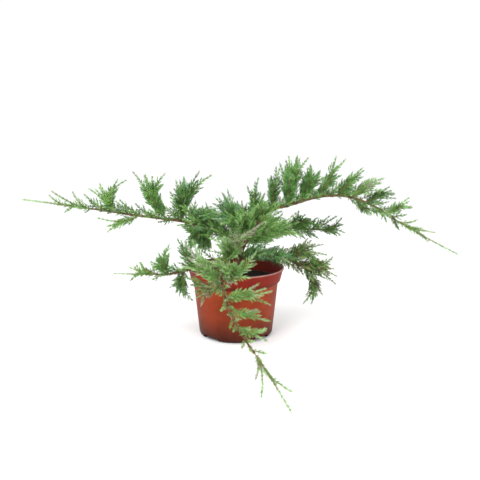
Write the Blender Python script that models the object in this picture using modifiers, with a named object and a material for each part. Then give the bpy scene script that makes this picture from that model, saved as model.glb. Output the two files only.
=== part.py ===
# A spreading juniper in a nursery pot: pot, soil, trunk, boughs and masses of foliage.
# Metres, +Z up, origin at the centre of the pot's flat underside, front toward -Y.
import math
import random

import bmesh
import bpy
import numpy as np
from mathutils import Matrix
from mathutils.bvhtree import BVHTree

GAP = 0.0003
SEED = 31

# The pot
POT_HEIGHT = 0.144
RIM_RADIUS = 0.1015
LIP_HEIGHT = 0.003
COLLAR_HEIGHT = 0.027
COLLAR_FOOT_RADIUS = 0.094
BODY_TOP_RADIUS = 0.0895
BODY_FOOT_RADIUS = 0.078
FOOT_ROUND = 0.009
WALL = 0.0022
FLOOR = 0.004
POT_STEPS = 36
NOTCH_COUNT = 4
NOTCH_WIDTH = 0.042
NOTCH_HEIGHT = 0.0085
NOTCH_DEPTH = 0.020
NOTCH_OVERRUN = 0.010
NOTCH_ROUND = 0.004

# The soil
SOIL_TOP = 0.122
SOIL_FOOT = 0.030
SOIL_CROWN = 0.003
SOIL_STEPS = 20

# The limbs, each worked out from where it starts, its heading (degrees about Z from +X),
# its turn along the way, and its rise above level at even stations from root to tip.
TRUNK = dict(foot=(0.004, 0.0), heading=2, turn=0, rise=(90, 86, 72, 54, 54, 62), length=0.148,
             root=0.0080, tip=0.0052, flare=1.5)
TRUNK_SIDES = 10
BOUGH_SIDES = 6
BOUGH_STEPS = 8
BOUGHS = {
    "bough_left_upper": dict(on="trunk", share=0.48, heading=178, turn=3, length=0.330,
                             rise=(40, 24, 11, 7, 7, 9, 9), root=0.0040, tip=0.0016),
    "bough_left_lower": dict(on="trunk", share=0.17, heading=210, turn=-24, length=0.180,
                             rise=(30, 10, -12, -16, -8, 4), root=0.0040, tip=0.0020),
    "bough_front": dict(on="trunk", share=0.31, heading=-104, turn=-2, length=0.142,
                        rise=(28, 10, -4, -20, -30), root=0.0040, tip=0.0026),
    "bough_front_outer": dict(on="bough_front", share=1.0, heading=-86, turn=26, length=0.214,
                              rise=(-27, -23, -22, -22), root=0.0025, tip=0.0016),
    "bough_right_upper": dict(on="trunk", share=1.0, heading=0, turn=2, length=0.178,
                              rise=(38, 12, 18, 14, 4, -8), root=0.0040, tip=0.0027),
    "bough_right_outer": dict(on="bough_right_upper", share=1.0, heading=-1, turn=0, length=0.118,
                              rise=(-10, -22, -31, -34), root=0.0026, tip=0.0017),
    "bough_right_back": dict(on="trunk", share=0.62, heading=42, turn=-32, length=0.190,
                             rise=(28, 6, -8, -8, 0), root=0.0038, tip=0.0020),
    "bough_right_lower": dict(on="trunk", share=0.27, heading=2, turn=16, length=0.174,
                              rise=(26, -2, -14, -26, -48), root=0.0040, tip=0.0022),
    "bough_back_left": dict(on="trunk", share=0.42, heading=128, turn=-12, length=0.190,
                            rise=(34, 14, 0, -10, -14), root=0.0040, tip=0.0022),
    "bough_back_right": dict(on="trunk", share=0.52, heading=78, turn=-8, length=0.200,
                             rise=(32, 16, 2, -10, -16), root=0.0040, tip=0.0022),
}

# The masses of foliage. Each leaves its limb at a share of the limb's length and is a list of
# plumes: heading and rise in degrees, length and half width in millimetres. The first plume
# is the mass's own stem, and the others leave that stem at even steps.
MASSES = {
    "foliage_right_inner": ("bough_right_upper", 0.12, [
        (-40, 78, 88, 13), (190, 80, 60, 11), (-110, 60, 52, 11), (80, 62, 60, 12)]),
    "foliage_right_top": ("bough_right_upper", 0.30, [
        (12, 78, 102, 15), (172, 78, 84, 14), (-100, 62, 75, 14), (90, 64, 80, 14), (-50, 52, 76, 13)]),
    "foliage_right_crest": ("bough_right_upper", 0.49, [
        (0, 60, 72, 14), (172, 82, 66, 13), (-70, 62, 60, 13), (70, 60, 64, 13), (0, 32, 48, 11)]),
    "foliage_right_shoot": ("bough_right_upper", 0.68, [
        (0, 55, 94, 11), (25, 44, 60, 10), (-30, 36, 48, 10), (-5, 72, 54, 9)]),
    "foliage_right_second": ("bough_right_upper", 0.90, [
        (0, 48, 76, 11), (-30, 34, 50, 10), (28, 30, 54, 10)]),
    "foliage_right_third": ("bough_right_outer", 0.10, [
        (0, 40, 64, 11), (-20, 12, 66, 10), (20, 20, 62, 10)]),
    "foliage_right_under": ("bough_right_outer", 0.20, [
        (0, -44, 42, 9), (-40, -66, 28, 8), (-15, -16, 50, 9)]),
    "foliage_right_fourth": ("bough_right_outer", 0.38, [
        (0, 34, 56, 10), (-22, 8, 58, 10), (25, 4, 52, 9)]),
    "foliage_right_fifth": ("bough_right_outer", 0.80, [
        (0, 36, 56, 8), (-20, 18, 48, 8), (15, -2, 40, 7)]),
    "foliage_right_tip": ("bough_right_outer", 1.0, [
        (0, -28.5, 156, 6), (0, 8, 40, 6), (-20, -6, 36, 5), (15, -40, 26, 5)]),
    "foliage_left_tip": ("bough_left_upper", 1.0, [
        (181, 8, 142, 6), (190, 52, 42, 7), (170, -28, 28, 6), (180, 34, 34, 6)]),
    "foliage_left_first": ("bough_left_upper", 0.86, [
        (180, 67, 64, 10), (180, 44, 66, 9), (100, 72, 46, 9), (0, 72, 58, 10), (-60, 50, 40, 8),
        (10, 48, 56, 10)]),
    "foliage_left_under": ("bough_left_upper", 0.70, [
        (182, -3, 84, 8), (186, -18, 62, 9), (192, -34, 42, 8)]),
    "foliage_left_plume": ("bough_left_upper", 0.53, [
        (180, 57, 116, 14), (181, 66, 92, 13), (222, 46, 60, 12), (150, 46, 58, 12), (-20, 64, 62, 13)]),
    "foliage_left_tall": ("bough_left_upper", 0.42, [
        (0, 70, 112, 14), (180, 66, 60, 14), (-92, 58, 68, 14), (92, 60, 70, 14), (0, 44, 76, 13)]),
    "foliage_left_close": ("bough_left_upper", 0.31, [
        (180, 50, 46, 13), (-34, 22, 50, 12), (44, 30, 50, 12), (-130, 34, 48, 12)]),
    "foliage_left_hanging": ("bough_left_upper", 0.27, [
        (190, -48, 56, 13), (20, -76, 46, 12), (232, -42, 52, 12), (140, -44, 50, 12)]),
    "foliage_low_left_tip": ("bough_left_lower", 1.0, [
        (182, 2, 84, 6), (180, 42, 36, 7), (206, 60, 32, 7), (150, 30, 32, 7), (200, -34, 24, 6)]),
    "foliage_low_left_clump": ("bough_left_lower", 0.86, [
        (182, 66, 48, 12), (184, 34, 44, 12), (252, 50, 42, 12), (60, 66, 46, 12)]),
    "foliage_low_left_plume": ("bough_left_lower", 0.58, [
        (180, 68, 60, 11), (84, 74, 56, 10), (236, 56, 54, 11)]),
    "foliage_low_left_hanging": ("bough_left_lower", 0.68, [
        (200, -68, 46, 12), (190, -46, 42, 11), (-84, -56, 46, 11), (-50, -44, 54, 12)]),
    "foliage_front_crown": ("bough_front", 0.52, [
        (-64, 60, 62, 13), (-112, 50, 58, 13), (-150, 34, 62, 13), (-14, 42, 88, 11), (-84, 24, 58, 13)]),
    "foliage_front_cover": ("bough_front_outer", 0.04, [
        (-12, 24, 72, 13), (-60, -4, 50, 13), (-150, 38, 56, 13), (-110, 30, 50, 13), (-24, 46, 62, 12)]),
    "foliage_front_left_shoot": ("bough_front_outer", 0.11, [
        (180, 48, 100, 11), (194, 26, 72, 10), (202, 56, 62, 10), (160, 62, 62, 10)]),
    "foliage_front_brush": ("bough_front_outer", 0.15, [
        (188, 4, 58, 10), (202, -20, 50, 9), (222, -40, 46, 9), (176, 24, 52, 10)]),
    "foliage_front_right_high": ("bough_front_outer", 0.31, [
        (0, 8, 84, 9), (-5, 26, 62, 9), (-20, -12, 50, 8)]),
    "foliage_front_right_mid": ("bough_front_outer", 0.50, [
        (-4, -12, 70, 7), (0, 8, 42, 7), (-30, 10, 30, 6)]),
    "foliage_front_right_low": ("bough_front_outer", 0.70, [
        (-4, -24, 52, 7), (5, -6, 44, 7), (0, 14, 30, 6)]),
    "foliage_front_tip": ("bough_front_outer", 1.0, [
        (-66, -21, 130, 5), (-94, -22, 50, 5), (-38, -20, 46, 5)]),
    "foliage_crown_left": ("trunk", 0.64, [
        (182, 49, 104, 16), (204, 24, 88, 16), (158, 56, 94, 15), (-140, 46, 90, 16), (172, 70, 76, 14),
        (192, 8, 80, 14)]),
    "foliage_crown_front": ("trunk", 0.55, [
        (-100, 64, 90, 16), (-134, 48, 86, 16), (-74, 44, 80, 15), (-104, 28, 80, 15), (-46, 54, 72, 14),
        (-128, 12, 72, 14)]),
    "foliage_crown_back": ("trunk", 0.66, [
        (118, 38, 92, 15), (78, 44, 88, 15), (150, 32, 84, 14), (50, 28, 76, 14)]),
    "foliage_crown_spire": ("trunk", 0.84, [
        (70, 86, 97, 10), (0, 74, 62, 9), (184, 74, 62, 9), (-90, 64, 60, 10)]),
    "foliage_inner_right": ("trunk", 0.53, [
        (0, 30, 122, 14), (-16, 14, 104, 14), (-32, 34, 84, 14), (18, 18, 92, 13), (-36, 4, 90, 13)]),
    "foliage_inner_front": ("trunk", 0.34, [
        (-36, 10, 88, 13), (-54, 24, 76, 13), (-22, -4, 84, 12), (-70, 8, 66, 12)]),
    "foliage_rim_right": ("bough_right_lower", 0.40, [
        (-44, 6, 54, 11), (-76, -6, 52, 10), (-8, -12, 42, 10)]),
    "foliage_right_back_tip": ("bough_right_back", 1.0, [
        (5, 12, 50, 9), (30, -25, 46, 9), (-32, -8, 46, 9), (10, 40, 34, 8)]),
    "foliage_right_back_mid": ("bough_right_back", 0.58, [
        (10, 22, 50, 10), (-20, -25, 54, 10), (60, 40, 46, 10), (0, -5, 60, 10), (-40, 10, 44, 10)]),
    "foliage_right_low_tip": ("bough_right_lower", 1.0, [
        (-90, -82, 66, 11), (20, -60, 54, 11), (200, -58, 48, 11)]),
    "foliage_right_low_outer": ("bough_right_lower", 0.78, [
        (5, -20, 92, 12), (25, -6, 76, 12), (-20, -32, 70, 12), (40, 14, 60, 12)]),
    "foliage_right_low_upper": ("bough_right_lower", 0.60, [
        (20, 16, 92, 12), (42, 28, 70, 12), (0, -2, 72, 12), (-30, -36, 58, 12)]),
    "foliage_back_left_tip": ("bough_back_left", 1.0, [
        (110, -6, 76, 14), (140, 10, 62, 13), (84, 8, 62, 13), (112, -40, 52, 13)]),
    "foliage_back_left_mid": ("bough_back_left", 0.55, [
        (130, 60, 70, 14), (170, 24, 60, 13), (90, 30, 66, 13), (150, -20, 56, 13)]),
    "foliage_back_left_low": ("bough_back_left", 0.70, [
        (120, -55, 60, 14), (160, -36, 56, 13), (84, -44, 56, 13)]),
    "foliage_back_right_tip": ("bough_back_right", 1.0, [
        (72, -8, 78, 14), (100, 8, 62, 13), (44, 8, 66, 13), (70, -42, 54, 13)]),
    "foliage_back_right_mid": ("bough_back_right", 0.52, [
        (66, 58, 72, 14), (104, 26, 62, 13), (28, 24, 70, 13), (56, -16, 60, 13)]),
}
ROOT_RADIUS = 1.1
STEM_STALK = 0.42
SIDE_STALK = 0.24
TOOTH_PITCH = 42.0
THICKNESS_SHARE = 0.24
MAX_TRIES = 16
ROOT_SHIFTS = (0.0, 0.02, -0.02, 0.05, -0.05, 0.08, -0.08)
CLEARANCE = 0.0006
ROOT_CLEARANCE = 0.0006
BEND = 0.42
CONTROL_SHARE = 0.42
LEAVING_OUTWARD = 0.90
LEAVING_ALONG = 0.44
FIRST_SIDE = 0.07
SIDE_SPREAD = 0.36
FACING = np.array([0.0, -0.85, 0.53])
ROLL_RANGE = 28
PLUME_STEPS = 12
TRUNK_STEPS = 10


def material(name, color, roughness, metallic=0.0):
    mat = bpy.data.materials.new(name)
    mat.use_nodes = True
    shader = mat.node_tree.nodes["Principled BSDF"]
    shader.inputs["Base Color"].default_value = (*color, 1.0)
    shader.inputs["Roughness"].default_value = roughness
    shader.inputs["Metallic"].default_value = metallic
    mat.diffuse_color = (*color, 1.0)
    return mat


def heading_vector(heading, rise):
    h = math.radians(heading)
    r = math.radians(rise)
    return np.array([math.cos(r) * math.cos(h), math.cos(r) * math.sin(h), math.sin(r)])


def grow(start, limb, steps):
    """Points of a limb that leaves start and follows its headings and rises."""
    points = [np.array(start, float)]
    rises = limb["rise"]
    for step in range(steps):
        share = (step + 0.5) / steps
        rise = np.interp(share * (len(rises) - 1), range(len(rises)), rises)
        stride = heading_vector(limb["heading"] + limb["turn"] * share, rise)
        points.append(points[-1] + stride * limb["length"] / steps)
    return np.array(points)


def point_at(path, share):
    place = min(max(share, 0.0), 1.0) * (len(path) - 1)
    index = min(int(place), len(path) - 2)
    return path[index] + (path[index + 1] - path[index]) * (place - index)


def direction_at(path, share):
    place = min(max(share, 0.0), 1.0) * (len(path) - 1)
    index = min(int(place), len(path) - 2)
    step = path[index + 1] - path[index]
    return step / np.linalg.norm(step)


def limb_object(name, path, radii, sides, collection, mat):
    """A tapering limb: a curve with a round bevel, made a mesh with welded caps."""
    curve = bpy.data.curves.new(name, "CURVE")
    curve.dimensions = "3D"
    curve.bevel_depth = 1.0
    curve.bevel_resolution = sides // 2 - 2
    curve.use_fill_caps = True
    spline = curve.splines.new("POLY")
    spline.points.add(len(path) - 1)
    for point, place, radius in zip(spline.points, path, radii):
        point.co = (*place, 1.0)
        point.radius = radius
    guide = bpy.data.objects.new(name + "_guide", curve)
    collection.objects.link(guide)
    bpy.context.view_layer.update()
    mesh = bpy.data.meshes.new_from_object(guide.evaluated_get(bpy.context.evaluated_depsgraph_get()))
    bpy.data.objects.remove(guide)
    body = bmesh.new()
    body.from_mesh(mesh)
    bmesh.ops.remove_doubles(body, verts=body.verts, dist=0.00002)
    bmesh.ops.recalc_face_normals(body, faces=body.faces)
    body.to_mesh(mesh)
    body.free()
    mesh.materials.clear()
    mesh.materials.append(mat)
    mesh.name = name
    limb = bpy.data.objects.new(name, mesh)
    collection.objects.link(limb)
    return limb


def apply_boolean(target, operation, solver, other=None, others=None):
    modifier = target.modifiers.new(operation, "BOOLEAN")
    modifier.operation = operation
    modifier.solver = solver
    if others is None:
        modifier.object = other
    else:
        modifier.operand_type = "COLLECTION"
        modifier.collection = others
    bpy.context.view_layer.update()
    graph = bpy.context.evaluated_depsgraph_get()
    mesh = bpy.data.meshes.new_from_object(target.evaluated_get(graph))
    target.modifiers.remove(modifier)
    old = target.data
    target.data = mesh
    bpy.data.meshes.remove(old)


def keep_largest_body(target):
    """Drops the loose scraps that a cut leaves, so that one closed body stays."""
    body = bmesh.new()
    body.from_mesh(target.data)
    bmesh.ops.remove_doubles(body, verts=body.verts, dist=0.000002)
    seen = set()
    groups = []
    for start in body.verts:
        if start in seen:
            continue
        group = [start]
        seen.add(start)
        for vert in group:
            for edge in vert.link_edges:
                other = edge.other_vert(vert)
                if other not in seen:
                    seen.add(other)
                    group.append(other)
        groups.append(group)
    groups.sort(key=group_volume)
    for group in groups[:-1]:
        bmesh.ops.delete(body, geom=group, context="VERTS")
    bmesh.ops.triangulate(body, faces=body.faces)
    body.to_mesh(target.data)
    body.free()


def group_volume(group):
    """The signed volume of one closed body, which is negative for a hollow."""
    faces = {face for vert in group for face in vert.link_faces}
    volume = 0.0
    for face in faces:
        corners = [vert.co for vert in face.verts]
        for second, third in zip(corners[1:], corners[2:]):
            volume += corners[0].dot(second.cross(third)) / 6
    return volume


def is_closed(target):
    body = bmesh.new()
    body.from_mesh(target.data)
    closed = all(edge.is_manifold for edge in body.edges) and all(v.is_manifold for v in body.verts)
    body.free()
    return closed


def plume_path(root, leaving, plume, swing, steps):
    """A quadratic curve from the root to the tip that bends away from its leaving direction."""
    heading, rise, length, _ = plume
    reach = heading_vector(heading + swing[0], rise + swing[1])
    tip = root + reach * length * 0.001
    blend = leaving * (1 - BEND) + reach * BEND
    control = root + blend / np.linalg.norm(blend) * length * 0.001 * CONTROL_SHARE
    shares = np.linspace(0, 1, steps + 1)[:, None]
    return (1 - shares) ** 2 * root + 2 * shares * (1 - shares) * control + shares ** 2 * tip


def plume_profile(length, half_width, stalk):
    """Shares along a plume with their half widths (mm): a stalk, then teeth on both edges."""
    teeth = max(2, round(length * (1 - stalk) / TOOTH_PITCH))
    rows = [(0.0, ROOT_RADIUS), (stalk, ROOT_RADIUS)]
    for tooth in range(teeth):
        share = stalk + (1 - stalk) * (tooth + 0.50) / teeth
        notch = stalk + (1 - stalk) * (tooth + 0.94) / teeth
        bulk = math.sin(math.pi * (0.16 + 0.72 * (tooth + 0.5) / teeth)) ** 0.8
        rows.append((share, half_width * bulk))
        if tooth < teeth - 1:
            rows.append((notch, half_width * bulk * 0.48))
    rows.append((1.0, 0.45))
    return rows


def plume_mesh(path, plume, roll, stalk, grown=0.0):
    """A toothed blade with a ridge on both faces, lofted along its path."""
    rows = plume_profile(plume[2], plume[3], stalk)
    body = bmesh.new()
    rings = []
    for share, width in rows:
        centre = point_at(path, share)
        along = direction_at(path, share)
        facing = FACING - along * FACING.dot(along)
        facing = facing / np.linalg.norm(facing)
        across = np.cross(along, facing)
        turned = facing * math.cos(roll) + across * math.sin(roll)
        side = np.cross(along, turned)
        half = width * 0.001 + grown
        thick = max(0.7, width * THICKNESS_SHARE) * 0.001 + grown
        corners = (side * half, turned * thick, -side * half, -turned * thick)
        rings.append([body.verts.new(centre + corner) for corner in corners])
    for near, far in zip(rings, rings[1:]):
        for corner in range(4):
            following = (corner + 1) % 4
            body.faces.new((near[corner], near[following], far[following], far[corner]))
    body.faces.new(rings[0][::-1])
    body.faces.new(rings[-1])
    bmesh.ops.triangulate(body, faces=body.faces)
    bmesh.ops.recalc_face_normals(body, faces=body.faces)
    return body


def limb_root(path, radii, share, reach):
    """Where a mass leaves its limb: on the limb's surface, or just past its tip."""
    along = direction_at(path, share)
    centre = point_at(path, share)
    if share >= 1.0:
        return centre + along * ROOT_CLEARANCE, along
    radius = np.interp(share * (len(radii) - 1), range(len(radii)), radii)
    outward = reach - along * reach.dot(along)
    outward = outward / np.linalg.norm(outward)
    leaving = outward * LEAVING_OUTWARD + along * LEAVING_ALONG
    return centre + outward * (radius + ROOT_CLEARANCE), leaving / np.linalg.norm(leaving)


def placed_plume(root, leaving, plume, chance, obstacles, steady):
    """A plume's mesh, turned, swung or shortened by the seeded rule until it touches nothing."""
    for attempt in range(MAX_TRIES):
        spread = 0.0 if attempt < 2 else 2.2 * attempt
        swing = (chance.uniform(-spread, spread), chance.uniform(-spread, spread))
        roll = math.radians(chance.uniform(-ROLL_RANGE, ROLL_RANGE) * (1 + 0.3 * attempt))
        scale = 1.0 if attempt < 4 else 1.0 - 0.045 * (attempt - 3)
        tried = (plume[0], plume[1], plume[2] * (1.0 if steady else scale), plume[3] * scale)
        path = plume_path(root, leaving, tried, swing, PLUME_STEPS)
        stalk = STEM_STALK if steady else SIDE_STALK
        trial = plume_mesh(path, tried, roll, stalk, CLEARANCE * 0.5)
        tree = BVHTree.FromBMesh(trial)
        trial.free()
        if not any(tree.overlap(other) for other in obstacles):
            return path, plume_mesh(path, tried, roll, stalk)
    return None, None


def foliage_mass(name, spec, limbs, obstacles, collection, mat):
    """One mass: its plumes are placed clear of all else, then joined by one Boolean union."""
    limb_name, share, plumes = spec
    chance = random.Random(f"{SEED}{name}")
    path, radii = limbs[limb_name]
    reach = heading_vector(plumes[0][0], plumes[0][1])
    for shift in ROOT_SHIFTS:
        moved = share if share >= 1.0 else min(share + shift, 0.98)
        root, leaving = limb_root(path, radii, moved, reach)
        stem, shape = placed_plume(root, leaving, plumes[0], chance, obstacles, True)
        if stem is not None:
            break
    if stem is None:
        print("no room for the stem of", name)
        return
    shapes = [shape]
    for index, plume in enumerate(plumes[1:]):
        along = FIRST_SIDE + SIDE_SPREAD * index / max(1, len(plumes) - 2)
        start = point_at(stem, along)
        _, shape = placed_plume(start, direction_at(stem, along), plume, chance, obstacles, False)
        if shape is None:
            print("skipped a plume of", name, index)
            continue
        shapes.append(shape)
    joined = bpy.data.collections.new(name + "_plumes")
    bpy.context.scene.collection.children.link(joined)
    objects = []
    for index, shape in enumerate(shapes):
        obstacles.append(BVHTree.FromBMesh(shape))
        mesh = bpy.data.meshes.new(f"{name}_{index}")
        shape.to_mesh(mesh)
        shape.free()
        mesh.materials.append(mat)
        item = bpy.data.objects.new(name if index == 0 else f"{name}_{index}", mesh)
        (collection if index == 0 else joined).objects.link(item)
        objects.append(item)
    if len(objects) > 1:
        first = objects[0].data.copy()
        for solver in ("MANIFOLD", "EXACT"):
            objects[0].data = first.copy()
            apply_boolean(objects[0], "UNION", solver, others=joined)
            keep_largest_body(objects[0])
            if is_closed(objects[0]):
                break
        else:
            print(name, "is still open")
    for item in objects[1:]:
        bpy.data.objects.remove(item)
    bpy.data.collections.remove(joined)
    objects[0].data.name = name


def pot_profile():
    """The pot's wall in the plane of its radius, outer side down and inner side up."""
    collar_foot = POT_HEIGHT - COLLAR_HEIGHT
    outer = [
        (RIM_RADIUS - 0.0012, POT_HEIGHT),
        (RIM_RADIUS, POT_HEIGHT - 0.0008),
        (RIM_RADIUS, POT_HEIGHT - LIP_HEIGHT),
        (RIM_RADIUS - 0.0014, POT_HEIGHT - LIP_HEIGHT - 0.0006),
        (COLLAR_FOOT_RADIUS, collar_foot),
        (BODY_TOP_RADIUS, collar_foot - 0.0012),
    ]
    centre = (BODY_FOOT_RADIUS - FOOT_ROUND, FOOT_ROUND)
    for step in range(5):
        angle = math.radians(-4 - 86 * step / 4)
        outer.append((centre[0] + FOOT_ROUND * math.cos(angle), centre[1] + FOOT_ROUND * math.sin(angle)))
    inner = [
        (0.0, FLOOR),
        (BODY_FOOT_RADIUS - FOOT_ROUND, FLOOR),
        (BODY_FOOT_RADIUS - WALL, FLOOR + 0.006),
        (BODY_TOP_RADIUS - WALL, collar_foot - 0.002),
        (COLLAR_FOOT_RADIUS - WALL, collar_foot + 0.002),
        (RIM_RADIUS - WALL - 0.0008, POT_HEIGHT - 0.0010),
        (RIM_RADIUS - WALL, POT_HEIGHT),
    ]
    return outer + [(0.0, 0.0)] + inner


def turned(name, profile, steps, collection, mat, closed):
    """A solid turned about Z from its profile with a Screw modifier."""
    mesh = bpy.data.meshes.new(name)
    count = len(profile)
    edges = [(i, i + 1) for i in range(count - 1)]
    if closed:
        edges.append((count - 1, 0))
    mesh.from_pydata([(r, 0.0, z) for r, z in profile], edges, [])
    mesh.materials.append(mat)
    item = bpy.data.objects.new(name, mesh)
    collection.objects.link(item)
    screw = item.modifiers.new("Turn", "SCREW")
    screw.axis = "Z"
    screw.steps = steps
    screw.render_steps = steps
    screw.use_merge_vertices = True
    screw.merge_threshold = 0.00001
    return item


def build_pot(collection, cutters, mat):
    pot = turned("pot", pot_profile(), POT_STEPS, collection, mat, True)
    for index in range(NOTCH_COUNT):
        angle = math.radians(45 + 360 / NOTCH_COUNT * index)
        bpy.ops.mesh.primitive_cube_add(size=1)
        notch = bpy.context.object
        notch.name = f"notch_{index}"
        radius = BODY_FOOT_RADIUS - NOTCH_DEPTH / 2 + NOTCH_OVERRUN / 2
        placing = Matrix.Rotation(angle, 4, "Z") @ Matrix.Translation((radius, 0, 0))
        sizing = Matrix.Diagonal((NOTCH_DEPTH + NOTCH_OVERRUN, NOTCH_WIDTH, NOTCH_HEIGHT * 2, 1))
        notch.data.transform(placing @ sizing)
        body = bmesh.new()
        body.from_mesh(notch.data)
        upper = [e for e in body.edges if all(v.co.z > 0 for v in e.verts)]
        bmesh.ops.bevel(body, geom=upper, offset=NOTCH_ROUND, segments=2, affect="EDGES", profile=0.5)
        body.to_mesh(notch.data)
        body.free()
        notch.hide_render = True
        notch.display_type = "WIRE"
        for owner in list(notch.users_collection):
            owner.objects.unlink(notch)
        cutters.objects.link(notch)
        cut = pot.modifiers.new(f"Notch {index}", "BOOLEAN")
        cut.operation = "DIFFERENCE"
        cut.object = notch
    return pot


def build_soil(collection, mat):
    def inner_radius(height):
        share = (height - FLOOR) / (POT_HEIGHT - COLLAR_HEIGHT - FLOOR)
        return BODY_FOOT_RADIUS - WALL + (BODY_TOP_RADIUS - BODY_FOOT_RADIUS) * share - 0.0006
    profile = [
        (0.0, SOIL_TOP),
        (0.030, SOIL_TOP),
        (0.068, SOIL_TOP - 0.35 * SOIL_CROWN),
        (inner_radius(SOIL_TOP) - 0.004, SOIL_TOP - SOIL_CROWN),
        (inner_radius(SOIL_TOP - 0.006), SOIL_TOP - 0.006),
        (inner_radius(SOIL_FOOT) - 0.0006, SOIL_FOOT),
        (0.0, SOIL_FOOT),
    ]
    return turned("soil", profile, SOIL_STEPS, collection, mat, False)


def closed_mesh_tree(item):
    graph = bpy.context.evaluated_depsgraph_get()
    body = bmesh.new()
    body.from_object(item, graph)
    tree = BVHTree.FromBMesh(body)
    body.free()
    return tree


def build_limbs(collection, bark):
    """The trunk and boughs, each cut back to stand clear of the limb that bears it."""
    start = (*TRUNK["foot"], SOIL_TOP + GAP)
    trunk = grow(start, TRUNK, TRUNK_STEPS)
    shares = np.linspace(0, 1, len(trunk))
    radii = TRUNK["root"] + (TRUNK["tip"] - TRUNK["root"]) * shares
    radii = radii * (1 + (TRUNK["flare"] - 1) * np.clip(1 - shares / 0.16, 0, 1) ** 2)
    limbs = {"trunk": (trunk, radii)}
    objects = {"trunk": limb_object("trunk", trunk, radii, TRUNK_SIDES, collection, bark)}
    for name, bough in BOUGHS.items():
        bearer, bearer_radii = limbs[bough["on"]]
        origin = point_at(bearer, bough["share"])
        if bough["share"] >= 1.0:
            origin = origin + direction_at(bearer, 1.0) * GAP
        path = grow(origin, bough, BOUGH_STEPS)
        spread = np.linspace(bough["root"], bough["tip"], len(path))
        limbs[name] = (path, spread)
        limb = limb_object(name, path, spread, BOUGH_SIDES, collection, bark)
        if bough["on"] == "trunk":
            sides = TRUNK_SIDES
        else:
            sides = BOUGH_SIDES
        padded = bearer_radii + GAP
        reach = direction_at(bearer, 1.0) * GAP
        length = np.vstack([bearer, bearer[-1] + reach])
        padded = np.append(padded, padded[-1])
        cutter = limb_object(name + "_cutter", length, padded, sides, collection, bark)
        apply_boolean(limb, "DIFFERENCE", "EXACT", other=cutter)
        bpy.data.objects.remove(cutter)
        keep_largest_body(limb)
        objects[name] = limb
    return limbs, objects


def main():
    for item in list(bpy.data.objects):
        bpy.data.objects.remove(item)
    plant = bpy.data.collections.new("potted_juniper")
    cutters = bpy.data.collections.new("cutters")
    bpy.context.scene.collection.children.link(plant)
    bpy.context.scene.collection.children.link(cutters)
    terracotta = material("terracotta_plastic", (0.36, 0.055, 0.020), 0.45)
    peat = material("dark_peat", (0.012, 0.010, 0.008), 0.95)
    bark = material("brown_bark", (0.16, 0.085, 0.045), 0.85)
    leaf = material("juniper_green", (0.12, 0.24, 0.10), 0.65)
    pot = build_pot(plant, cutters, terracotta)
    soil = build_soil(plant, peat)
    limbs, objects = build_limbs(plant, bark)
    bpy.context.view_layer.update()
    obstacles = [closed_mesh_tree(item) for item in (pot, soil, *objects.values())]
    for name, spec in MASSES.items():
        foliage_mass(name, spec, limbs, obstacles, plant, leaf)


main()
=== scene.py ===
import math
import random

import bmesh
import bpy
import numpy as np
from mathutils import Matrix, Vector, noise


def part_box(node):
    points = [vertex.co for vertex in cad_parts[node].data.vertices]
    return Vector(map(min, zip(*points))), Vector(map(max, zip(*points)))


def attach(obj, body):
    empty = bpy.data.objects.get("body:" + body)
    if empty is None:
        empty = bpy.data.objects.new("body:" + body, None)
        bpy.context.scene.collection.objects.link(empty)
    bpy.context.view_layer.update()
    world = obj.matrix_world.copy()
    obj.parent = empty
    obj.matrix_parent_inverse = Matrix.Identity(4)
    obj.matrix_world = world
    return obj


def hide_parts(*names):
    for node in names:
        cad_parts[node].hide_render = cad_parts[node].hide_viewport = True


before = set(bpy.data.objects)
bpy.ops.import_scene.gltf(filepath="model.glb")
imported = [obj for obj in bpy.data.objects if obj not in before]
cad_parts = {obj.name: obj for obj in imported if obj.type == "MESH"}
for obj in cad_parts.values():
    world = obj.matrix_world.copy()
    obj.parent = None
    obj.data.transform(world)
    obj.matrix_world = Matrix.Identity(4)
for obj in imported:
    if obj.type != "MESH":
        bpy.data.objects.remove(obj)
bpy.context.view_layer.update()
print("frame loaded")

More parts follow.
